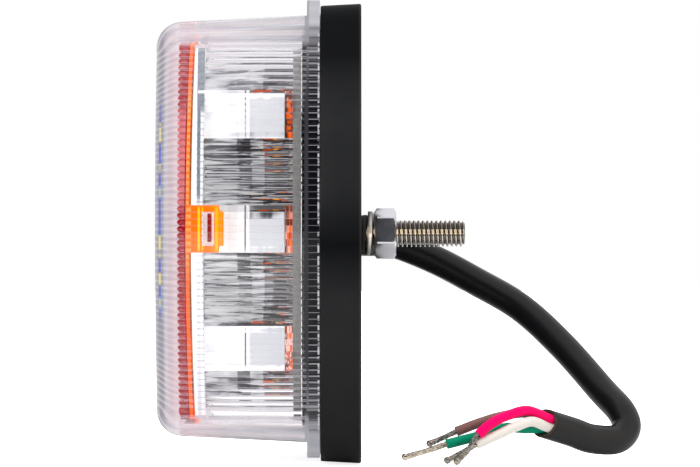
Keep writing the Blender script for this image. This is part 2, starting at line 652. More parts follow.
CHIP = speckled("chip_body", (0.012, 0.012, 0.013), (0.03, 0.03, 0.032), roughness=0.42,
                grain=8.0)
CERAMIC = speckled("ceramic", (0.28, 0.2, 0.13), (0.4, 0.3, 0.22), roughness=0.45, grain=6.0)
GROMMET = speckled("grommet_rubber", grey(0.012), (0.03, 0.029, 0.028), roughness=0.62,
                   grain=7.0)
LED_AMBER = led_amber()
NUT_STEEL = steel("nut_steel", bright=(0.62, 0.62, 0.65), dull=(0.56, 0.56, 0.60),
                  roughness=0.24, pit_scale=2.6, pit_bump=0.005, uneven=0.02)
STUD_STEEL = stud_steel()
WASHER_STEEL = washer_steel()
SCREW_STEEL = steel("screw_steel", bright=(0.66, 0.65, 0.62), dull=(0.5, 0.49, 0.47),
                    roughness=0.22, pit_scale=3.0, pit_bump=0.2)
TIN = steel("tinned_copper", bright=(0.46, 0.44, 0.41), dull=(0.06, 0.055, 0.05),
            roughness=0.12, pit_scale=1.5, pit_bump=0.25, warm=0.3)
TIN_PALE = steel("tinned_copper_pale", bright=(0.84, 0.78, 0.66), dull=(0.16, 0.13, 0.10),
                 roughness=0.12, pit_scale=1.5, pit_bump=0.25, warm=0.6)
JACKET = jacket()
INSULATION = {
    "red": speckled("insulation_red", (0.88, 0.0, 0.12), (0.74, 0.0, 0.095),
                    roughness=0.45, grain=2.0, specular=0.08, mottle=0.3),
    "white": speckled("insulation_white", (0.69, 0.655, 0.61), (0.60, 0.56, 0.51),
                      roughness=0.45, grain=2.0, specular=0.12, mottle=0.3),
    "green": speckled("insulation_green", (0.0, 0.235, 0.13), (0.0, 0.165, 0.092),
                      roughness=0.45, grain=2.0, specular=0.1, mottle=0.3),
    "brown": speckled("insulation_brown", (0.205, 0.085, 0.078), (0.12, 0.05, 0.046),
                      roughness=0.46, grain=2.0, mottle=0.4),
}


# =================================================================== mesh helpers
def make(name, verts, faces, materials, sharp=30.0, indices=None):
    """Object from vertices in millimetres, smooth but for edges over sharp degrees."""
    mesh = bpy.data.meshes.new(name)
    mesh.from_pydata((np.asarray(verts, float) * MM).tolist(), [], faces)
    for material in materials if isinstance(materials, list) else [materials]:
        mesh.materials.append(material)
    if indices is not None:
        mesh.polygons.foreach_set("material_index", np.asarray(indices, np.int32))
    bm = bmesh.new()
    bm.from_mesh(mesh)
    bmesh.ops.recalc_face_normals(bm, faces=bm.faces)
    if bm.calc_volume(signed=True) < 0:
        bmesh.ops.reverse_faces(bm, faces=bm.faces)
    bm.to_mesh(mesh)
    bm.free()
    mesh.shade_smooth()
    mesh.set_sharp_from_angle(angle=math.radians(sharp))
    obj = bpy.data.objects.new(name, mesh)
    bpy.context.scene.collection.objects.link(obj)
    return obj


def register(obj, part, slot, *pieces):
    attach(obj, part)
    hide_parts(*pieces)


class Shells:
    """Collects several closed shells into one mesh."""

    def __init__(self):
        self.verts, self.faces, self.index, self.count = [], [], [], 0

    def add(self, verts, faces, material=0):
        verts = np.asarray(verts, float)
        self.verts.append(verts)
        self.faces += [tuple(i + self.count for i in face) for face in faces]
        self.index += [material] * len(faces)
        self.count += len(verts)

    def object(self, name, materials, sharp):
        return make(name, np.concatenate(self.verts), self.faces, materials, sharp, self.index)


def loft(rings, closed=False):
    """Quads through equal rings; closed joins last to first, otherwise both ends are capped."""
    n = len(rings[0])
    faces = []
    for k in range(len(rings) if closed else len(rings) - 1):
        this, following = k * n, ((k + 1) % len(rings)) * n
        for i in range(n):
            j = (i + 1) % n
            faces.append((this + i, this + j, following + j, following + i))
    if not closed:
        faces.append(tuple(range(n)))
        faces.append(tuple(reversed(range((len(rings) - 1) * n, len(rings) * n))))
    return np.concatenate(rings), faces


def around(n):
    """n equal angles round a circle."""
    return np.arange(n) * 2 * math.pi / n


def at_depth(x, points):
    """Puts (y, z) points at depth x."""
    return np.column_stack([np.full(len(points), x), np.asarray(points, float)])


def scaled(points, centre, share):
    return centre + (points - centre) * share


def turned(profile, y, z, n=64, start=0.0):
    """Rings about an X axis through (y, z); profile rows are (x, radius)."""
    angles = start + around(n)
    return [np.column_stack([np.full(n, x), y + radius * np.cos(angles),
                             z + radius * np.sin(angles)]) for x, radius in profile]


def arc(centre, radius, start, end, steps, last=0):
    """Points on an arc, without its end unless last is 1."""
    angles = [start + (end - start) * i / steps for i in range(steps + last)]
    return [(centre[0] + radius * math.cos(a), centre[1] + radius * math.sin(a))
            for a in angles]


def corner_place(half_y, half_z, corner, bow):
    """Angle at which a bowed end meets its rounded corner, and that corner's centre."""
    turn = math.asin((half_z - corner) / (bow - corner))
    return turn, (half_y - bow + (bow - corner) * math.cos(turn), half_z - corner)


def outline(half_y, half_z, corner, bow, middle_z=0.0, side=48, rounding=12, top=24):
    """Points (y, z): bowed ends, flat top and bottom, rounded corners."""
    turn, centre = corner_place(half_y, half_z, corner, bow)
    quarter = math.pi / 2
    half = arc((half_y - bow, 0.0), bow, -turn, turn, side)
    half += arc(centre, corner, turn, quarter, rounding)
    half += [(centre[0] - 2 * centre[0] * i / top, half_z) for i in range(top)]
    half += [(-y, z) for y, z in arc(centre, corner, quarter, turn, rounding)]
    half = np.array(half)
    return np.vstack([half, -half]) + (0.0, middle_z)


def round_rect(y, z, half_y, half_z, radius, steps=8, edge=6):
    """Rounded rectangle with steps per corner and edge spans per straight side."""
    def on_corner(corner, quarters):
        side_y, side_z = ((1, 1), (-1, 1), (-1, -1), (1, -1))[corner]
        angle = math.pi / 2 * quarters
        return (y + side_y * (half_y - radius) + radius * math.cos(angle),
                z + side_z * (half_z - radius) + radius * math.sin(angle))

    points = []
    for corner in range(4):
        points += [on_corner(corner, corner + i / steps) for i in range(steps + 1)]
        following = (corner + 1) % 4
        start, end = np.array(points[-1]), np.array(on_corner(following, following))
        points += [tuple(start + (end - start) * i / edge) for i in range(1, edge)]
    return np.array(points)


def rays(polygon, centre, angles):
    """Where rays from the centre leave a star-shaped closed polygon."""
    points = np.asarray(polygon, float) - centre
    bearing = np.unwrap(np.arctan2(points[:, 1], points[:, 0]))
    if bearing[-1] < bearing[0]:
        points, bearing = points[::-1], bearing[::-1]
    points, bearing = np.vstack([points, points[:1]]), np.append(bearing, bearing[0] + 2 * math.pi)
    hits = []
    for angle in angles:
        turn = (angle - bearing[0]) % (2 * math.pi) + bearing[0]
        i = min(max(int(np.searchsorted(bearing, turn, side="right")) - 1, 0), len(points) - 2)
        ray, edge = np.array((math.cos(angle), math.sin(angle))), points[i + 1] - points[i]
        across = ray[0] * edge[1] - ray[1] * edge[0]
        reach = (points[i][0] * edge[1] - points[i][1] * edge[0]) / across
        hits.append(ray * reach + centre)
    return np.array(hits)


def brick(low, high, bevel):
    """Closed box with rounded-off edges, as verts and faces."""
    bm = bmesh.new()
    low, high = np.minimum(low, high), np.maximum(low, high)
    bmesh.ops.create_cube(bm, size=1.0)
    for vert in bm.verts:
        vert.co = Vector((low + high) / 2 + np.array(vert.co) * (high - low))
    bmesh.ops.bevel(bm, geom=list(bm.edges), offset=bevel, segments=2, profile=0.5,
                    affect="EDGES")
    bm.verts.index_update()
    verts = [tuple(vert.co) for vert in bm.verts]
    faces = [tuple(vert.index for vert in face.verts) for face in bm.faces]
    bm.free()
    return verts, faces


def route(points, per_span):
    """Catmull-Rom points through the given ones."""
    p = [np.array(point, float) for point in points]
    p = [2 * p[0] - p[1]] + p + [2 * p[-1] - p[-2]]
    out = []
    for i in range(1, len(p) - 2):
        a, b, c, d = p[i - 1:i + 3]
        for k in range(per_span):
            t = k / per_span
            out.append(0.5 * ((2 * b) + (c - a) * t + (2 * a - 5 * b + 4 * c - d) * t * t
                              + (3 * b - a - 3 * c + d) * t ** 3))
    out.append(p[-2])
    return np.array(out)


def path_frames(path):
    """Tangents and two side directions that don't twist along the path."""
    ahead = np.gradient(path, axis=0)
    ahead /= np.linalg.norm(ahead, axis=1)[:, None]
    up = np.zeros_like(ahead)
    first = np.array((0.0, 0.0, 1.0)) - ahead[0] * ahead[0][2]
    up[0] = first / np.linalg.norm(first)
    for i in range(1, len(ahead)):
        side = up[i - 1] - ahead[i] * (up[i - 1] @ ahead[i])
        up[i] = side / np.linalg.norm(side)
    return ahead, up, np.cross(ahead, up)


def cross_ring(centre, radius, angles, up, across):
    return (centre + np.outer(np.cos(angles) * radius, up)
            + np.outer(np.sin(angles) * radius, across))


def tube_rings(path, radius, n, wobble=None):
    """Rings along a path; wobble(i, angles) scales the radius of ring i."""
    _, up, across = path_frames(path)
    angles = around(n)
    radius = np.broadcast_to(radius, (len(path),))
    rings = []
    for i in range(len(path)):
        size = radius[i] * wobble(i, angles) if wobble else radius[i]
        rings.append(cross_ring(path[i], size, angles, up[i], across[i]))
    return rings


# ============================================================== dimensions in mm
lens_low, lens_high = box_mm("lens")
house_low, house_high = box_mm("housing")
refl_low, refl_high = box_mm("reflector")
board_low, board_high = box_mm("circuit_board")
red_low, red_high = box_mm("red_inner_lens")

# clear lens: bowed ends, a crowned front face and a flange round its back
BOW = 87.0
CROWN = 0.4
LENS_FRONT, FLANGE_BACK = lens_low[0] + CROWN * (1 - 0.15 ** 2), lens_high[0]
FLANGE_FRONT = FLANGE_BACK - 2.8
LENS_Z = (lens_low[2] + lens_high[2]) / 2
WALL, DRAFT, EDGE_R, INNER_R, FLANGE_OVER = 2.4, 0.049, 5.5, 1.4, 3.4
LENS_CORNER, LEAST_CORNER = 6.0, 0.8
LENS_HALF_Y = lens_high[1] - FLANGE_OVER
LENS_HALF_Z = (lens_high[2] - lens_low[2]) / 2 - FLANGE_OVER

# flutes inside the lens; PER is points per flute
FLUTE_WIDTH = 1.47
FLUTE_R = BOW - WALL
FLUTE_ANGLE = FLUTE_WIDTH / FLUTE_R
FLUTE_DEPTH = 0.10
SIDE_FLUTES, TOP_FLUTES, CORNER_FLUTES, PER = 55, 41, 4, 8
ROUND = 12  # rings round each front edge

# the core: inner lenses and reflector with three rows of three cups
CORE_Z = (refl_low[2] + refl_high[2]) / 2
CORE_HALF_Z = (refl_high[2] - refl_low[2]) / 2 + 0.3
CORE_HALF_Y = refl_high[1] + 0.3
ROW_Z = 0.5
PITCH_Z, PITCH_Y = 25.7, 23.6
MIDDLE = np.array((0.0, ROW_Z))
RIM_FRONT, CUP_BACK = refl_low[0] - 0.3, refl_high[0]
RIM_BACK = RIM_FRONT + 2.4
RED_FRONT = red_low[0]
RED_BACK = RED_FRONT + 2.2
AMBER_FRONT, AMBER_BACK = RED_BACK + 0.06, RED_BACK + 1.0
TAB_Z, TAB_HALF = 1.1, 5.1
TAB_BACK = box_mm("amber_inner_lens")[1][0]
DIRECTIONS = around(640)

# housing and what stands on it
RIM = -9.0
BOSS_TOP = house_high[0]
STUD_Y = {side: sum(corner.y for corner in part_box(f"stud_{side}")) / 2 / MM
          for side in ("left", "right")}
PIVOT = np.array(JOINTS["cable_bend"]["pos_m"]) / MM
CABLE_Y, CABLE_Z = PIVOT[1], PIVOT[2]
POSTS = [(side_y * 12.0, side_z * 12.9 + ROW_Z) for side_y in (-1, 1) for side_z in (-1, 1)]

# washers: where each is split (degrees), its rise round a turn and its thickness
WASHER_GAP = {"left": 190.0, "right": 80.0}
RISE, THICK = 1.0, 1.08


# ===================================================================== clear lens
def crest_profile(u):
    """1 on the crests at either side of a flute, 0 in its middle."""
    return (2 * u - 1) ** 2


def lens_ring(x, shrink, amount, flute=0.0):
    """One ring of the lens: points stay on the same flute all along the lamp."""
    half_y, half_z = LENS_HALF_Y - shrink, LENS_HALF_Z - shrink
    corner, bow = max(LENS_CORNER - amount, LEAST_CORNER), BOW - amount
    turn, centre = corner_place(half_y, half_z, corner, bow)
    reach = FLUTE_ANGLE * SIDE_FLUTES / 2
    top = FLUTE_WIDTH * TOP_FLUTES / 2
    side = []
    for i in range(SIDE_FLUTES * PER):
        z = FLUTE_R * math.sin(-reach + 2 * reach * i / (SIDE_FLUTES * PER))
        side.append((half_y - bow + math.sqrt(bow * bow - z * z), z))
    side = np.array(side)
    # evenly spaced points from the last side flute, round the corner to the flat top
    side_end = math.asin(FLUTE_R * math.sin(reach) / bow)
    path = arc((half_y - bow, 0.0), bow, side_end, turn, 6)
    path += arc(centre, corner, turn, math.pi / 2, 24, last=1)
    path = np.array(path + [(top, half_z)])
    spans = np.linalg.norm(np.diff(path, axis=0), axis=1)
    length = np.concatenate([[0], np.cumsum(spans)])
    at = np.arange(CORNER_FLUTES * PER) / (CORNER_FLUTES * PER) * length[-1]
    bend = np.column_stack([np.interp(at, length, path[:, k]) for k in (0, 1)])
    flat = np.array([(top - 2 * top * i / (TOP_FLUTES * PER), half_z)
                     for i in range(TOP_FLUTES * PER)])
    back_bend = np.array((-1, 1)) * np.vstack([bend[1:], [(top, half_z)]])[::-1]
    # the other half is the first one turned about the X axis
    ring = np.vstack([side, bend, flat, back_bend, -side, -bend, -flat, -back_bend])
    if flute:
        tangent = np.roll(ring, -1, axis=0) - np.roll(ring, 1, axis=0)
        tangent /= np.linalg.norm(tangent, axis=1)[:, None]
        normal = np.column_stack([tangent[:, 1], -tangent[:, 0]])
        # back_bend is drawn from its far end, so its flutes still start at whole steps
        depth = FLUTE_DEPTH * flute * crest_profile((np.arange(len(ring)) % PER) / PER)
        ring = ring + normal * depth[:, None]
    return np.column_stack([np.full(len(ring), x), ring[:, 0], ring[:, 1] + LENS_Z])


def wall_ring(x, amount, flute=0.0):
    return lens_ring(x, (FLANGE_FRONT - x) * DRAFT + amount, amount, flute)


def flange_ring(x, over):
    return lens_ring(x, -over, -over)


def front_rings(front, radius, amount=0.0, fluted=0.0):
    """Rounds the front edge, then closes in over the crowned front face."""
    rings = []
    for i in range(1, ROUND + 1):
        angle = math.pi / 2 * i / ROUND
        rings.append(wall_ring(front + radius - radius * math.sin(angle),
                               amount + radius * (1 - math.cos(angle)),
                               fluted * (1.0 - 0.6 * (i / ROUND) ** 2)))
    edge, centre = rings[-1], np.array((front, 0.0, LENS_Z))
    for share in (0.985, 0.93, 0.8, 0.6, 0.4, 0.2, 0.06):
        forward = np.array((CROWN * (1 - share * share), 0.0, 0.0))
        rings.append(scaled(edge, centre, np.array((1.0, share, share))) - forward)
    return rings


def flute_values(rings):
    """Position across the flutes for shading: 1 on crests, fading out on the front face."""
    u = np.arange(len(rings[0])) / PER
    crest = crest_profile(u % 1.0)
    squares = [(i / ROUND) ** 2 for i in range(1, ROUND + 1)]
    inner = [1.0] * 5 + [1.0 - 0.5 * s for s in squares] + [0.35, 0.15] + [0.0] * 5
    outer = [1.0] * 10 + [1.0 - 0.2 * s for s in squares] + [0.5, 0.2] + [0.0] * 5
    values = [crest * weight for weight in reversed(inner)]
    for ring, weight in zip(rings[len(inner):], outer):
        # lines lean more towards the front and away from the middle height
        onto = min(1.0, max(0.0, (-39.5 - float(ring[:, 0].mean())) / 5.5)) ** 1.6
        lean = onto * np.interp(np.abs(ring[:, 2] - LENS_Z), [0, 12, 34, 40, 45, 60],
                                [0.0, 0.25, 1.9, 1.5, 0.0, 0.0])
        way = np.sign(ring[:, 1]) * np.sign(ring[:, 2] - LENS_Z)
        leaning = (np.arange(len(ring)) + way * lean * PER) / PER
        values.append(crest_profile(leaning - np.floor(leaning)) * weight)
    values = np.concatenate(values).astype(np.float32)
    is_inner = np.arange(len(values)) < len(inner) * len(crest)
    return values, is_inner.astype(np.float32)


def build_lens():
    inner_front = LENS_FRONT + WALL
    inner = [lens_ring(x, WALL, WALL, 1.0) for x in (FLANGE_BACK, FLANGE_FRONT)]
    inner += [wall_ring(x, WALL, 1.0)
              for x in np.linspace(FLANGE_FRONT, inner_front + INNER_R, 4)[1:]]
    inner += front_rings(inner_front, INNER_R, WALL, fluted=1.0)
    rings = list(reversed(inner)) + [
        flange_ring(FLANGE_BACK, FLANGE_OVER - 0.1),
        flange_ring(FLANGE_BACK - 0.1, FLANGE_OVER),
        flange_ring(FLANGE_FRONT + 0.18, FLANGE_OVER),
        flange_ring(FLANGE_FRONT + 0.05, FLANGE_OVER - 0.05),
        flange_ring(FLANGE_FRONT, FLANGE_OVER - 0.18),
        lens_ring(FLANGE_FRONT, -0.08, 0.0),
        lens_ring(FLANGE_FRONT - 0.08, 0.0, 0.0),
    ]
    rings += [wall_ring(x, 0.0) for x in np.linspace(FLANGE_FRONT, LENS_FRONT + EDGE_R, 4)[1:]]
    rings += front_rings(LENS_FRONT, EDGE_R)
    lens = make("clear_lens_shell", *loft(rings), CLEAR, sharp=9.0)
    for name, values in zip(("flute", "inner"), flute_values(rings)):
        lens.data.attributes.new(name, "FLOAT", "POINT").data.foreach_set("value", values)
    register(lens, "lamp", "clear_lens", "lens")


# ======================================================================== housing
DENSE = dict(side=64, rounding=14, top=32)


def inset(x, amount):
    """Housing outline at depth x, drawn in by amount."""
    share = -x / 9.0
    half_y = house_high[1] - 0.6 * share
    half_z = house_high[2] - 0.45 * share
    return at_depth(x, outline(half_y - amount, half_z - amount, max(9.0 - amount, 1.0),
                               BOW + 3.5 - amount, **DENSE))


# (x, inset) from the inner floor, over the grooved front rim, to the grooved back
TRAY = [
    (-2.2, 5.2), (-2.35, 4.7), (-2.9, 4.4), (RIM, 4.0), (RIM, 3.3), (RIM + 0.9, 3.3),
    (RIM + 0.9, 1.4), (RIM, 1.4), (RIM, 0.3), (RIM + 0.09, 0.09), (RIM + 0.3, 0.0),
    (-4.5, 0.0), (-0.42, 0.0), (-0.2, 0.06), (-0.06, 0.2), (0.0, 0.42),
    (0.0, 6.0), (-0.12, 6.15), (-0.12, 6.75), (0.0, 6.9),
]
# (x, inset) round the skirt's closed section
SKIRT = [(-1.6, 2.9), (-12.8, 2.9), (-12.95, 2.96), (-13.0, 3.1), (-13.0, 4.2),
         (-12.95, 4.34), (-12.8, 4.4), (-1.6, 4.4)]
# (y, z) of round marks on the flat back
MARKS = ((-33, 33), (33, 33), (-33, -33), (33, -33), (0, 36), (0, -36))


def turned_tool(profile, y, z, n=64, start=0.0):
    return make("tool", *loft(turned(profile, y, z, n, start)), BLACK, sharp=35)


def apply_boolean(obj, tools, operation):
    for tool in tools:
        modifier = obj.modifiers.new("cut", "BOOLEAN")
        modifier.operation = operation
        modifier.solver = "EXACT"
        modifier.object = tool
    bpy.context.view_layer.update()
    graph = bpy.context.evaluated_depsgraph_get()
    mesh = bpy.data.meshes.new_from_object(obj.evaluated_get(graph))
    obj.modifiers.clear()
    old = obj.data
    obj.data = mesh
    bpy.data.meshes.remove(old)
    for tool in tools:
        data = tool.data
        bpy.data.objects.remove(tool)
        bpy.data.meshes.remove(data)


def build_housing():
    shell = [inset(x, amount) for x, amount in TRAY]
    floor_centre, back_centre = np.array((-2.2, 0.0, 0.0)), np.array((0.0, 0.0, 0.0))
    inner_floor = [scaled(shell[0], floor_centre, share) for share in (0.1, 0.5, 0.85)]
    back_face = [scaled(shell[-1], back_centre, share) for share in (0.85, 0.5, 0.1)]
    housing = make("housing_tray", *loft(inner_floor + shell + back_face), BLACK, sharp=35)

    # recesses round the studs and cable, and the round marks
    cuts = [turned_tool([(-0.5, 6.5), (-0.35, 6.72), (0.3, 7.05), (2.0, 7.05)], y, 0.0)
            for y in STUD_Y.values()]
    cuts.append(turned_tool([(-0.5, 5.7), (-0.35, 5.85), (0.3, 6.1), (2.0, 6.1)],
                            CABLE_Y, CABLE_Z))
    cuts += [turned_tool([(-0.12, 2.9), (1.0, 2.9)], y, z, 40) for y, z in MARKS]
    apply_boolean(housing, cuts, "DIFFERENCE")

    # stud bosses, the skirt that stands just inside the lens wall, and the board posts
    boss = [(-1.4, 4.1), (BOSS_TOP - 0.2, 4.1), (BOSS_TOP - 0.06, 4.04), (BOSS_TOP, 3.9)]
    adds = [turned_tool(boss, y, 0.0, 56) for y in STUD_Y.values()]
    skirt = [at_depth(x, outline(LENS_HALF_Y - amount, LENS_HALF_Z - amount,
                                 max(LENS_CORNER - amount, LEAST_CORNER), BOW - amount,
                                 LENS_Z, **DENSE))
             for x, amount in SKIRT]
    adds.append(make("tool", *loft(skirt, closed=True), BLACK, sharp=35))
    adds += [turned_tool([(-1.5, 2.9), (board_high[0] + 0.3, 2.9)], y, z, 32, 0.05)
             for y, z in POSTS]
    apply_boolean(housing, adds, "UNION")

    # holes for the studs, the cable and the board screws
    cuts = [turned_tool([(-4.0, 3.1), (3.0, 3.1)], y, 0.0, 48, 0.03) for y in STUD_Y.values()]
    cuts.append(turned_tool([(-4.0, 4.5), (3.0, 4.5)], CABLE_Y, CABLE_Z, 48, 0.03))
    cuts += [turned_tool([(board_high[0] - 1.0, 1.25), (-6.0, 1.25)], y, z, 20)
             for y, z in POSTS]
    apply_boolean(housing, cuts, "DIFFERENCE")
    housing.data.shade_smooth()
    housing.data.set_sharp_from_angle(angle=math.radians(35))
    register(housing, "lamp", "black_plastic", "housing")


# =================================================================== inner lenses
def core_edge(amount=0.0):
    return outline(CORE_HALF_Y - amount, CORE_HALF_Z - amount, 5.0 - amount, 85.0 - amount,
                   CORE_Z)


def panel_rings(x_front, x_back, window, steps, bevel, relief=None, directions=DIRECTIONS,
                teeth=0.0):
    """Closed panel from the core's edge to an inner window, with relief on its back face."""
    edge_out = rays(core_edge(), MIDDLE, directions)
    edge_in = rays(window, MIDDLE, directions)
    # shallow teeth round the front margin, in step with the lens flutes
    by_z = np.arcsin((edge_out[:, 1] - LENS_Z) / FLUTE_R) / FLUTE_ANGLE + 0.5
    by_y = edge_out[:, 0] / FLUTE_WIDTH + 0.5
    beside = np.abs(edge_out[:, 1] - CORE_Z) < CORE_HALF_Z - 3.0
    phase = np.where(beside, by_z, by_y) % 1.0
    tooth = teeth * np.abs(((phase + 0.28) % 1.0) * 2 - 1)
    outward = edge_out - edge_in
    margin = outward / np.linalg.norm(outward, axis=1)[:, None] * bevel
    start, end = edge_in + margin, edge_out - margin

    def face(x, back):
        rows = []
        for k in range(steps + 1):
            points = start + (end - start) * k / steps
            height = 0.0
            if not back:
                height = tooth * max(0.0, (k / steps - 0.35) / 0.65)
            elif relief and 0 < k < steps:
                height = relief(points[:, 0], points[:, 1])
            rows.append(at_depth(x + height, points))
        return rows

    rows = face(x_front, back=False)
    rows.append(at_depth(x_front + bevel + tooth, edge_out))
    rows.append(at_depth(x_back - bevel, edge_out))
    rows += reversed(face(x_back, back=True))
    rows.append(at_depth(x_back - bevel, edge_in))
    rows.append(at_depth(x_front + bevel, edge_in))
    return rows


def crown(obj):
    """The panels behind the lens are slightly crowned from top to bottom."""
    for vert in obj.data.vertices:
        x, z = vert.co.x / MM, vert.co.z / MM
        share = min(1.0, max(0.0, (-31.0 - x) / 5.0))
        vert.co.x -= 0.62 * MM * share * max(0.0, 1.0 - (z / 41.0) ** 2)


def pillows(y, z):
    return -0.28 * np.abs(np.sin(math.pi * y / 4.0)) * np.abs(np.sin(math.pi * z / 4.0))


def build_red_panel():
    window = round_rect(0.0, ROW_Z, 33.0, 12.4, 3.0)
    shells = Shells()
    shells.add(*loft(panel_rings(RED_FRONT, RED_BACK, window, steps=22, bevel=0.14,
                                 relief=pillows, directions=around(1500), teeth=0.36),
                     closed=True))
    for side in (-1, 1):
        # a tab running back from each end, with a raised bar on its outer face
        shells.add(*brick((RED_BACK - 0.9, side * 39.3, TAB_Z - 3.0),
                          (red_high[0], side * 40.1, TAB_Z + 3.0), bevel=0.12))
        shells.add(*brick((-33.6, side * 39.7, TAB_Z - 2.9),
                          (-32.6, side * 41.3, TAB_Z + 2.9), bevel=0.12))
    panel = shells.object("red_panel", RED, 35)
    crown(panel)
    register(panel, "lamp", "red_lens", "red_inner_lens")


def raised_panel():
    """The raised amber panel that fills the red lens's window."""
    edge = rays(round_rect(0.0, ROW_Z, 32.6, 12.0, 2.6), MIDDLE, DIRECTIONS)
    front, back = RED_FRONT + 0.3, AMBER_FRONT + 0.3
    shares = (0.02, 0.25, 0.5, 0.75, 0.97)
    rings = [at_depth(front, scaled(edge, MIDDLE, share)) for share in shares]
    rings += [at_depth(front + 0.08, scaled(edge, MIDDLE, 0.994)),
              at_depth(front + 0.25, edge), at_depth(back, edge)]
    return rings + [at_depth(back, scaled(edge, MIDDLE, share)) for share in reversed(shares)]


def snap_tab(side):
    """Tab on the end of the amber lens: a window frame with a narrower nose."""
    y_out, y_in = side * (CORE_HALF_Y - 0.05), side * (CORE_HALF_Y - 1.1)
    nose = TAB_BACK - 1.1
    # (x, distance in from the tab's lower edge)
    lower = [(AMBER_FRONT + 0.1, 0.0), (nose - 0.3, 0.0), (nose, 0.1), (nose + 0.15, 0.45),
             (nose + 0.2, 1.0), (TAB_BACK - 0.25, 1.15), (TAB_BACK - 0.05, 1.4),
             (TAB_BACK, 1.8)]
    edge = np.array([(x, -TAB_HALF + rise) for x, rise in lower]
                    + [(x, TAB_HALF - rise) for x, rise in reversed(lower)]) + (0.0, TAB_Z)
    centre = np.array((-33.3, TAB_Z))
    hole = round_rect(*centre, 1.2, 3.6, 0.35, steps=4, edge=4)
    edge, hole = rays(edge, centre, around(160)), rays(hole, centre, around(160))
    outward = edge - hole
    outward /= np.linalg.norm(outward, axis=1)[:, None]
    bevel = 0.14
    margin, turn_in = outward * bevel, side * bevel
    rows = ((hole + margin, y_out), (edge - margin, y_out), (edge, y_out - turn_in),
            (edge, y_in + turn_in), (edge - margin, y_in), (hole + margin, y_in),
            (hole, y_in + turn_in), (hole, y_out - turn_in))
    return loft([np.column_stack([points[:, 0], np.full(len(points), y), points[:, 1]])
                 for points, y in rows], closed=True)


def build_amber_panel():
    shells = Shells()
    tiny = round_rect(0.0, ROW_Z, 1.5, 1.2, 0.5)
    shells.add(*loft(panel_rings(AMBER_FRONT, AMBER_BACK, tiny, steps=6, bevel=0.12),
                     closed=True))
    shells.add(*loft(raised_panel()))
    for side in (-1, 1):
        shells.add(*snap_tab(side))
        for x in (-36.2, -35.4):  # ribs near the tab's root
            shells.add(*brick((x - 0.16, side * (CORE_HALF_Y - 0.3), TAB_Z - 4.6),
                              (x + 0.16, side * (CORE_HALF_Y + 0.12), TAB_Z + 4.6),
                              bevel=0.08))
    panel = shells.object("amber_panel", AMBER, 35)
    crown(panel)
    register(panel, "lamp", "amber_lens", "amber_inner_lens")


# ====================================================================== reflector
CUP = [(RIM_BACK, 11.5), (-27.5, 10.4), (-21.1, 8.6), (CUP_BACK, 5.6)]  # (x, outer radius)
CUP_WALL = 1.1


def rim_band():
    """Ring-shaped edge of the front plate, round the field of cells."""
    field = round_rect(0.0, ROW_Z, 1.5 * PITCH_Y, 1.5 * PITCH_Z, 0.01, steps=1, edge=60)
    edge_out = rays(core_edge(0.3), MIDDLE, DIRECTIONS)
    edge_in = rays(field, MIDDLE, DIRECTIONS)
    limit = rays(core_edge(1.6), MIDDLE, DIRECTIONS)
    short = np.linalg.norm(limit - MIDDLE, axis=1) < np.linalg.norm(edge_in - MIDDLE, axis=1)
    edge_in = np.where(short[:, None], limit, edge_in)
    bevel = 0.15
    return [at_depth(x, points) for x, points in (
        (RIM_FRONT, edge_in), (RIM_FRONT, edge_out * 0.996), (RIM_FRONT + bevel, edge_out),
        (RIM_BACK - bevel, edge_out), (RIM_BACK, edge_out * 0.996), (RIM_BACK, edge_in))]


def cell(column, row):
    """One closed shell: cell front, cup inside with three facets, cup outside, cell back."""
    theta = around(96)
    centre = np.array((column * PITCH_Y, ROW_Z + row * PITCH_Z))
    square = rays(round_rect(0, 0, PITCH_Y / 2, PITCH_Z / 2, 0.01, steps=1),
                  np.array((0.0, 0.0)), theta) + centre
    # the corner cells stop where the rim begins
    offset = square - MIDDLE
    away = np.linalg.norm(offset, axis=1)[:, None]
    limit = rays(core_edge(1.6), MIDDLE, np.arctan2(offset[:, 1], offset[:, 0]))
    reach = np.linalg.norm(limit - MIDDLE, axis=1)[:, None]
    square = np.where((away > reach) & (away > 1e-6),
                      MIDDLE + offset * (reach / np.maximum(away, 1e-6)), square)
    unit = np.column_stack([np.cos(theta), np.sin(theta)])
    mouth, end = CUP[0][1], CUP[-1][1]
    profile = [(RIM_FRONT, mouth - CUP_WALL + 0.12), (RIM_FRONT + 0.12, mouth - CUP_WALL),
               (RIM_BACK, mouth - CUP_WALL)]
    profile += [(x, radius - CUP_WALL) for x, radius in CUP[1:]]
    profile += [(CUP_BACK, end - 0.15), (CUP_BACK - 0.15, end)]
    profile += reversed(CUP[1:-1])
    profile += [(RIM_BACK + 0.1, mouth), (RIM_BACK, mouth + 0.1)]
    rows = [at_depth(x, centre + unit * radius) for x, radius in profile]
    return [at_depth(RIM_FRONT, square)] + rows + [at_depth(RIM_BACK, square)]


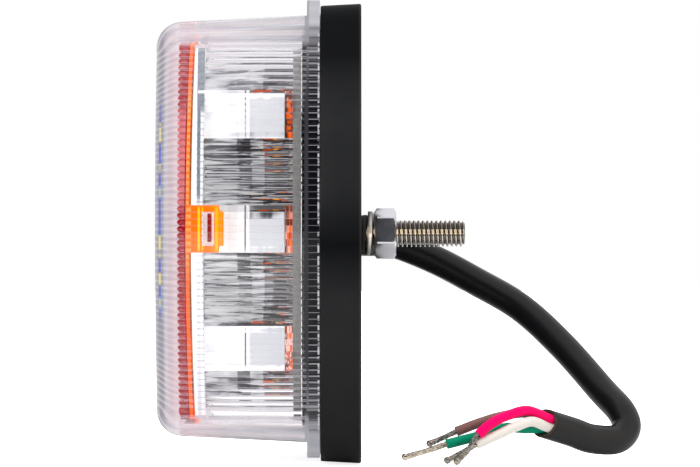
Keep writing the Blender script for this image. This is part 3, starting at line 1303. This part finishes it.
def pillar(side, row, end):
    """Flat-sided pillar on a row end, seated on the cup's outer skin."""
    depths = [RIM_FRONT + 1.0, RIM_BACK, -27.5, -24.7, -24.6, -24.6, -21.1,
              CUP_BACK - 0.12, CUP_BACK]
    bevel = 0.25
    rows = []
    for i, x in enumerate(depths):
        last = 0.12 if i == len(depths) - 1 else 0.0
        tip = end - (0.0 if i < 5 else 0.18) - last
        half = 5.1 - (0.0 if i < 5 else 0.12) - last
        radius = float(np.interp(x, *zip(*CUP))) - 0.55
        seat = [(PITCH_Y + radius * math.cos(angle), radius * math.sin(angle))
                for angle in np.linspace(-1, 1, 13) * math.asin(half / radius)]
        nose = [(tip - bevel, half), (tip - bevel * 0.3, half - bevel * 0.3),
                (tip, half - bevel)]
        nose += [(tip, z) for z in np.linspace(half - bevel, -half + bevel, 10)[1:-1]]
        nose += [(tip, -half + bevel), (tip - bevel * 0.3, -half + bevel * 0.3),
                 (tip - bevel, -half)]
        points = np.array(seat + nose)
        rows.append(at_depth(x, np.column_stack([side * points[:, 0],
                                                 points[:, 1] + ROW_Z + row * PITCH_Z])))
    return rows


def build_reflector():
    chrome, satin, rim = 0, 1, 2  # material indices
    shells = Shells()
    shells.add(*loft(rim_band(), closed=True), rim)
    for row in (-1, 0, 1):
        for column in (-1, 0, 1):
            shells.add(*loft(cell(column, row), closed=True), chrome)
    # metallised webs stand between the columns of cups
    for side in (-1, 1):
        shells.add(*brick(
            (RIM_BACK - 0.4, side * PITCH_Y / 2 - 0.5, ROW_Z - 1.42 * PITCH_Z),
            (board_low[0] - 0.06, side * PITCH_Y / 2 + 0.5, ROW_Z + 1.42 * PITCH_Z),
            bevel=0.12), chrome)
    for row, end in ((1, 35.6), (0, 38.0), (-1, 35.6)):
        for side in (-1, 1):
            shells.add(*loft(pillar(side, row, end)), satin)
    reflector = shells.object("reflector_bowls", [CHROME, PILLAR, RIM_SKIN], 28)
    crown(reflector)
    register(reflector, "lamp", "metallised_plastic", "reflector")


# ======================================================= studs, nuts and washers
def stud_rings():
    """Rolled thread on a shank, chamfered at its tip, with a flat head inside the housing."""
    n, per_turn, pitch, start = 56, 14, 1.0, -0.4
    crest_r, thread_depth = 2.95, 0.61
    angles = around(n)
    stud_low, stud_high = box_mm("stud_left")
    low, end = stud_low[0], stud_high[0]

    def ring(x, radius):
        return np.column_stack([np.full(n, x), radius * np.cos(angles),
                                radius * np.sin(angles)])

    rows = [ring(x, radius) for x, radius in (
        (low, 0.6), (low, 4.9), (low + 0.15, 5.15), (-2.65, 5.15), (-2.5, 5.0), (-2.5, 3.0),
        (-0.6, crest_r))]
    for x in np.arange(start, end - 0.0001, pitch / per_turn):
        phase = (x / pitch - angles / (2 * math.pi)) % 1.0
        flank = np.clip((np.abs(phase - 0.5) * 2 - 0.14) / 0.72, 0, 1)
        radius = 3.0 - thread_depth * flank
        radius = np.minimum(radius, 2.25 + (end - x) * 1.1)
        radius = np.minimum(radius, crest_r)
        if x < 0.2:  # the thread runs out onto the shank
            share = np.clip((x - start) / 0.6, 0, 1)
            radius = crest_r - (crest_r - radius) * share
        rows.append(ring(x, radius))
    return rows + [ring(end, radius) for radius in (2.1, 1.2, 0.3)]


def build_studs():
    for side, y in STUD_Y.items():
        rows = [ring + np.array((0.0, y, 0.0)) for ring in stud_rings()]
        stud = make(f"threaded_stud_{side}", *loft(rows), STUD_STEEL, sharp=50)
        register(stud, "lamp", "steel", f"stud_{side}")


def nut_turn(side):
    """Degrees by which the CAD nut's corners stand past straight up towards -Y."""
    corners = []
    for vert in NODES[f"nut_{side}"].data.vertices:
        y, z = vert.co.y / MM - STUD_Y[side], vert.co.z / MM
        if math.hypot(y, z) > 5.7:
            corners.append(math.degrees(math.atan2(-y, z)) % 60.0)
    base = corners[0]
    spread = sum((corner - base + 30.0) % 60.0 - 30.0 for corner in corners)
    return base + spread / len(corners)


def nut_rings(side):
    low, high = box_mm(f"nut_{side}")
    front, back = low[0], high[0]
    flat, bore = 5.0, 3.12
    corner = flat / math.cos(math.pi / 6)
    # angles are packed about each of the six flats; the first corner points up, then turns
    angles = []
    for k in range(6):
        for u in np.linspace(-1, 1, 25)[:-1]:
            angles.append(math.radians(60 * k)
                          + math.radians(30) * (abs(u) ** 0.7) * (1 if u > 0 else -1))
    angles = np.array(sorted(set(np.round(angles, 6))))
    local = (angles + math.pi / 6) % (math.pi / 3) - math.pi / 6
    hexagon = np.minimum(flat / np.cos(local), corner - 0.07)
    world = angles + math.pi / 6 + math.radians(nut_turn(side))
    face_r = flat * 0.95
    drop = np.maximum(hexagon - face_r, 0) * math.tan(math.radians(30))

    def row(x, radius):
        x = np.broadcast_to(x, angles.shape)
        return np.column_stack([x, -radius * np.sin(world), radius * np.cos(world)])

    rows = [row(front + 0.4, bore), row(front, bore + 0.4), row(front, face_r - 0.35),
            row(front, face_r)]
    shares = (0.25, 0.5, 0.75, 0.94)
    rows += [row(front + drop * s, face_r + (hexagon - face_r) * s) for s in shares]
    rows += [row(front + drop + 0.1, hexagon), row((front + back) / 2, hexagon),
             row(back - drop - 0.1, hexagon)]
    rows += [row(back - drop * s, face_r + (hexagon - face_r) * s) for s in reversed(shares)]
    return rows + [row(back, face_r), row(back, face_r - 0.35), row(back, bore + 0.4),
                   row(back - 0.4, bore)]


def build_nuts():
    for side, y in STUD_Y.items():
        rows = [ring + np.array((0.0, y, 0.0)) for ring in nut_rings(side)]
        nut = make(f"hex_nut_{side}", *loft(rows, closed=True), NUT_STEEL, sharp=20)
        register(nut, f"nut_{side}", "steel", f"nut_{side}")


def build_washer(side, y, front):
    """Split ring whose far end stands further back than its near end."""
    steps, half_gap, bevel = 120, math.radians(5), 0.16
    inner_r, outer_r = 3.15, 4.95
    nick = bevel * 0.3
    # (radius, x) round the section
    section = [(inner_r + bevel, 0.0), (outer_r - bevel, 0.0), (outer_r - nick, nick),
               (outer_r, bevel), (outer_r, THICK - bevel), (outer_r - nick, THICK - nick),
               (outer_r - bevel, THICK), (inner_r + bevel, THICK), (inner_r, THICK - bevel),
               (inner_r, bevel)]
    rows = []
    for i in range(steps + 1):
        angle = (math.radians(WASHER_GAP[side]) + half_gap
                 + (2 * math.pi - 2 * half_gap) * i / steps)
        x = front + RISE * (i / steps) ** 0.5
        rows.append(np.array([(x + depth, y + radius * math.sin(angle),
                               radius * math.cos(angle)) for radius, depth in section]))
    washer = make(f"split_washer_{side}", *loft(rows), WASHER_STEEL, sharp=40)
    register(washer, f"washer_{side}", "steel", f"spring_washer_{side}")


def build_gasket(side, y, washer_front):
    """Rubber ring squeezed between the boss and the washer."""
    count = 112
    low = BOSS_TOP + 0.02
    rings = []
    for i in range(count):
        angle = math.radians(WASHER_GAP[side]) + 2 * math.pi * i / count
        share = i / count
        if share < 26.5 / 28:
            share = max(share * 28 / 26 - 0.06, 0.0)
        else:  # falls back across the washer's gap
            share = max(0.1, 0.96 - (share * 28 - 26.5) * 0.8)
        top = washer_front - 0.07 + RISE * min(share, 0.97) ** 0.6
        section = ((3.2, low), (4.07, low), (4.15, low + 0.08), (4.15, top - 0.08),
                   (4.07, top), (3.2, top))
        rings.append(np.array([(x, y + radius * math.sin(angle), radius * math.cos(angle))
                               for radius, x in section]))
    gasket = make(f"stud_gasket_{side}", *loft(rings, closed=True), SEAL, sharp=40)
    register(gasket, "lamp", "seal_rubber", f"stud_seal_{side}")


def build_washers():
    for side, y in STUD_Y.items():
        front = box_mm(f"spring_washer_{side}")[0][0]
        build_washer(side, y, front)
        build_gasket(side, y, front)


# ========================================================================== cable
CABLE_R, CORE_R = 3.3, 1.1
SLANT = 0.38
# (x, y, z) stations of the cable; the first three run straight out through the housing
TAIL = [
    (box_mm("cable_jacket_root")[0][0], CABLE_Y, CABLE_Z), (-2.0, CABLE_Y, CABLE_Z),
    (2.0, CABLE_Y, CABLE_Z), (PIVOT[0] + 0.7, 9.0, -2.0), (10.0, 8.9, -3.1),
    (18.2, 8.0, -6.6), (26.0, 6.5, -10.8), (36.5, 3.0, -16.9), (45.9, -3.0, -25.6),
    (54.3, -11.0, -35.3), (58.4, -16.0, -39.9), (59.5, -19.0, -43.6), (57.0, -21.6, -46.0),
    (51.5, -24.5, -45.8), (46.9, -27.0, -44.2), (40.7, -30.5, -42.1),
]
# colour: (angle in the cable, core stations, stations of the bare strands beyond the core)
CORES = {
    "red": (38, [(36.6, -34.4, -39.1), (31.8, -36.4, -40.3), (28.6, -37.2, -41.9),
                 (25.8, -37.8, -44.2)],
            [(25.2, -38.1, -44.8), (23.3, -38.8, -47.8), (20.8, -39.3, -50.3)]),
    "white": (122, [(37.6, -35.2, -41.5), (33.8, -36.2, -42.7), (29.7, -36.8, -44.5),
                    (25.4, -37.2, -46.4)],
              [(24.9, -37.2, -46.7), (22.0, -36.9, -48.4), (18.7, -36.8, -50.1)]),
    "green": (212, [(36.4, -31.6, -43.2), (31.8, -32.8, -43.0), (27.8, -33.4, -44.2),
                    (23.8, -34.0, -45.3), (18.9, -34.6, -46.5)],
              [(18.4, -34.6, -46.65), (14.0, -35.0, -48.1), (9.4, -35.4, -49.4)]),
    "brown": (302, [(36.0, -30.4, -39.8), (30.0, -30.6, -40.8), (25.0, -30.9, -42.4),
                    (21.1, -31.2, -43.9)],
              [(20.6, -31.25, -44.1), (17.8, -31.6, -45.4), (14.9, -32.0, -46.6)]),
}
CABLE_PATH = route(TAIL, 12)


def build_sheath():
    n = 48
    path = CABLE_PATH
    angles = around(n)
    rings = tube_rings(path, CABLE_R - 0.02, n, lambda i, a: (
        1.0 + 0.004 * np.sin(a * 3 + i * 0.21) + 0.003 * np.sin(i * 0.37 + a)))
    ahead, up, across = (way[-1] for way in path_frames(path))
    # the sheath is cut on the slant: its side towards -Y is cut back
    near_way = np.array((0.0, -1.0, 0.25))
    near_way = near_way - ahead * (near_way @ ahead)
    near_way /= np.linalg.norm(near_way)

    def slanted(points, centre, share):
        return points - ahead * (SLANT * share * ((points - centre) @ near_way))[:, None]

    spans = np.linalg.norm(np.diff(path, axis=0), axis=1)
    run = np.concatenate([[0], np.cumsum(spans)])
    for i in range(len(path)):
        share = 1.0 - (run[-1] - run[i]) / 8.0
        if share > 0:
            rings[i] = slanted(rings[i], path[i], share ** 1.5)
    rings = [scaled(rings[0], path[0], 0.5)] + rings
    body_rings = len(rings)
    # (radius, distance past the path's end) over the cut lip and back down the bore
    for radius, shift in ((3.24, 0.1), (3.12, 0.2), (2.75, 0.22), (2.55, 0.12),
                          (2.45, -0.25), (2.42, -6.0), (1.2, -6.2)):
        ragged = radius * (1 + 0.012 * np.sin(3 * angles + 1) + 0.01 * np.sin(7 * angles))
        centre = path[-1] + ahead * shift
        rings.append(slanted(cross_ring(centre, ragged, angles, up, across), centre, 1.0))
    cable = make("cable_sheath", *loft(rings), JACKET, sharp=50)
    values = np.zeros(len(cable.data.vertices), np.float32)
    values[(body_rings + 1) * n:] = 1.0
    cable.data.attributes.new("cut", "FLOAT", "POINT").data.foreach_set("value", values)
    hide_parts("cable_jacket_root", "cable_jacket_tail")
    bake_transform(cable)


def build_core(colour, number, centre_line):
    """One insulated core with a trimmed end."""
    rings = tube_rings(centre_line, CORE_R, 28,
                       lambda i, a: 1 + 0.012 * np.sin(i * 0.5 + a + number))
    ahead, up, across = (way[-1] for way in path_frames(centre_line))
    angles = around(28)
    for radius, shift in ((1.06, 0.06), (0.98, 0.1), (0.7, 0.06), (0.58, -0.25), (0.2, -0.3)):
        rings.append(cross_ring(centre_line[-1] + ahead * shift,
                                radius * (1 + 0.02 * np.sin(5 * angles + number)),
                                angles, up, across))
    core = make(f"core_{colour}", *loft(rings), INSULATION[colour], sharp=45)
    register(core, "cable_tail", f"insulation_{colour}", f"wire_{colour}")


def build_strands(colour, number, path):
    """Six strands twisted round a seventh, with a rounded blob at the tip."""
    ahead, up, across = path_frames(path)
    spans = np.linalg.norm(np.diff(path, axis=0), axis=1)
    length = np.concatenate([[0], np.cumsum(spans)])
    size = np.full(len(path), 0.23)
    size[-3:] *= 0.92
    shells = Shells()
    for k in range(6):
        phase = 2 * math.pi * (length / 4.6 + k / 6.0) + number
        reach = 0.40 * (1 + 0.10 * np.sin(length * 1.9 + k * 2.1))
        line = (path + (np.cos(phase) * reach)[:, None] * up
                + (np.sin(phase) * reach)[:, None] * across)
        shells.add(*loft(tube_rings(line, size, 10)))
    shells.add(*loft(tube_rings(path, size, 10)))
    blob = []
    for i in range(11):
        latitude = math.pi * (i + 0.35) / 11.7
        radius = 0.78 * math.sin(latitude) * (1 + 0.06 * math.sin(i * 1.7 + number))
        centre = path[-1] + ahead[-1] * (-0.8 * math.cos(latitude) - 0.3)
        blob.append(cross_ring(centre, radius, around(20), up[-1], across[-1]))
    shells.add(*loft(blob))
    strands = shells.object(f"twisted_end_{colour}", TIN_PALE if colour == "green" else TIN, 50)
    register(strands, "cable_tail", "tinned_copper", f"strand_{colour}")


def build_wires():
    # directions at the cut end, as the cores leave it
    tail = route(TAIL[3:], 2)
    ahead = tail[-1] - tail[-2]
    ahead /= np.linalg.norm(ahead)
    up = np.array((0.0, 0.0, 1.0)) - ahead[2] * ahead
    up /= np.linalg.norm(up)
    side_way = np.cross(ahead, up)
    if side_way[1] > 0:
        side_way = -side_way
    for number, (colour, (degrees, core, bare)) in enumerate(CORES.items()):
        angle = math.radians(degrees)
        begin = CABLE_PATH[-1] + 1.5 * (math.cos(angle) * up + math.sin(angle) * side_way)
        lead_in = [begin - ahead * 5.0, begin - ahead * 2.0, begin + ahead * 0.3]
        build_core(colour, number, route(lead_in + core, 12))
        build_strands(colour, number, route([core[-1]] + bare, 14))


def build_grommet():
    """Stepped rubber ring round the cable, with rounded lips."""
    low, high = box_mm("cable_grommet")
    front, back = low[0], high[0]
    profile = [(back - 0.1, 3.45), (back, 3.55), (back, 4.05), (back - 0.05, 4.15),
               (back - 0.15, 4.2), (-2.5, 4.2), (-2.5, 5.5), (-2.6, 5.6), (front + 0.1, 5.6),
               (front, 5.5), (front, 3.55), (front + 0.1, 3.45)]
    grommet = make("grommet", *loft(turned(profile, CABLE_Y, CABLE_Z), closed=True),
                   GROMMET, sharp=40)
    register(grommet, "lamp", "grommet_rubber", "cable_grommet")


# ================================================ CAD pieces kept, with new skins
KEPT_SKINS = {
    "amber_led_bar": LED_AMBER, "led_amber": LED_AMBER, "led_red": LED_WHITE,
    "diode": CHIP, "resistor": CHIP, "board_screw": SCREW_STEEL, "lens_seal": SEAL,
    "circuit_board": BOARD, "regulator": CHIP, "capacitor": CERAMIC,
    **{f"board_lead_{colour}": material for colour, material in INSULATION.items()},
}
BEVELLED = ("amber_led_bar", "circuit_board", "regulator", "diode", "resistor", "capacitor")


def dress_kept_pieces():
    for name, node in NODES.items():
        if node.hide_render:
            continue
        skin = next(material for prefix, material in KEPT_SKINS.items()
                    if name.startswith(prefix))
        for slot in node.material_slots:
            slot.material = skin
        if not node.material_slots:
            node.data.materials.append(skin)
        if name.startswith(BEVELLED):
            edge = node.modifiers.new("edges", "BEVEL")
            edge.width = 0.12 * MM
            edge.segments = 2
            edge.limit_method = "ANGLE"
            edge.angle_limit = math.radians(40)


# ========================================================== floor, light, camera
def pale_floor():
    """Pale diffuse floor that glows a little to the camera only."""
    tree = material_tree("pale_floor")
    cloud = tree.position().noise(0.02, rough=0.5)
    diffuse = tree.add("ShaderNodeBsdfDiffuse",
                       Color=tree.mix(cloud, grey(0.93), (0.90, 0.90, 0.905)))
    lifted = tree.add("ShaderNodeAddShader", diffuse, tree.emission(grey(1.0), strength=0.8))
    to_camera = tree.add("ShaderNodeLightPath").output("Is Camera Ray")
    return tree.surface(tree.blend(to_camera, diffuse, lifted))


def build_floor():
    half = 3000
    z = min(house_low[2], -51.0) - 0.25
    corners = [(-half, -half, z), (half, -half, z), (half, half, z), (-half, half, z)]
    make("floor", corners, [(0, 1, 2, 3)], pale_floor())


def build_world():
    """White surroundings with a dark patch towards -Y and a warm strip beside it."""
    world = bpy.data.worlds.new("studio")
    world.use_nodes = True
    bpy.context.scene.world = world
    tree = Tree(world)
    x, y, z = tree.add("ShaderNodeTexCoord").output("Generated").split()
    level = (x * x + y * y).square_root()
    towards = (y * -1.0) / level.max(0.0001)
    dark = towards.step(0.70, 0.86) * (z.step(-0.42, -0.25) * (1.0 - z.step(0.52, 0.68)))
    strip = towards.band(0.15, 0.62, 0.06) * z.band(-0.1, 0.75, 0.1)
    base = tree.mix(z.step(0.3, 0.9), grey(1.0), (1.25, 1.25, 1.28))
    base = tree.mix(strip, base, (1.9, 1.75, 1.5))
    # the patch is darkest in mirror reflections and pale through a little glass
    path = tree.add("ShaderNodeLightPath")
    through = path.output("Transmission Depth").step(3.2, 3.8)
    mirrored = (1.0 - path.output("Is Transmission Ray")).max(through)
    shadow = tree.mix(through, (0.045, 0.048, 0.055), (0.10, 0.105, 0.12))
    base = tree.mix(dark, base, tree.mix(mirrored, (0.70, 0.705, 0.745), shadow))
    colour = tree.mix(path.output("Is Camera Ray"), base, grey(1.0))
    background = tree.add("ShaderNodeBackground", Color=colour, Strength=1.0)
    tree.surface(background, "ShaderNodeOutputWorld")


def area_light(name, location, size, watts):
    """Rectangular light in metres that points at the origin and isn't itself seen."""
    data = bpy.data.lights.new(name, "AREA")
    data.shape = "RECTANGLE"
    data.size, data.size_y = size
    data.energy = watts
    light = bpy.data.objects.new(name, data)
    bpy.context.scene.collection.objects.link(light)
    light.location = location
    light.rotation_euler = (-Vector(location)).to_track_quat("-Z", "Y").to_euler()
    light.visible_glossy = False
    light.visible_transmission = False
    light.visible_camera = False


def set_up_render():
    scene = bpy.context.scene
    scene.view_settings.view_transform = "Standard"
    scene.view_settings.look = "None"
    scene.cycles.max_bounces = 18
    scene.cycles.transmission_bounces = 16
    scene.cycles.transparent_max_bounces = 16
    scene.cycles.glossy_bounces = 8
    scene.cycles.diffuse_bounces = 4


def build_camera():
    scene = bpy.context.scene
    camera = bpy.data.objects.new("camera", bpy.data.cameras.new("camera"))
    scene.collection.objects.link(camera)
    camera.location = (-0.0025, -1.03, 0.0)
    camera.rotation_euler = (math.radians(90), 0.0, 0.0)
    camera.data.sensor_width = 36.0
    camera.data.lens = 231.8
    scene.camera = camera


build_lens()
build_housing()
build_red_panel()
build_amber_panel()
build_reflector()
build_studs()
build_nuts()
build_washers()
build_sheath()
build_wires()
build_grommet()
dress_kept_pieces()
build_floor()
build_world()
area_light("overhead", location=(-0.1, -0.25, 0.9), size=(0.9, 0.7), watts=6.0)
area_light("front_fill", location=(-0.7, -0.7, 0.35), size=(0.6, 0.6), watts=3.0)
set_up_render()
build_camera()
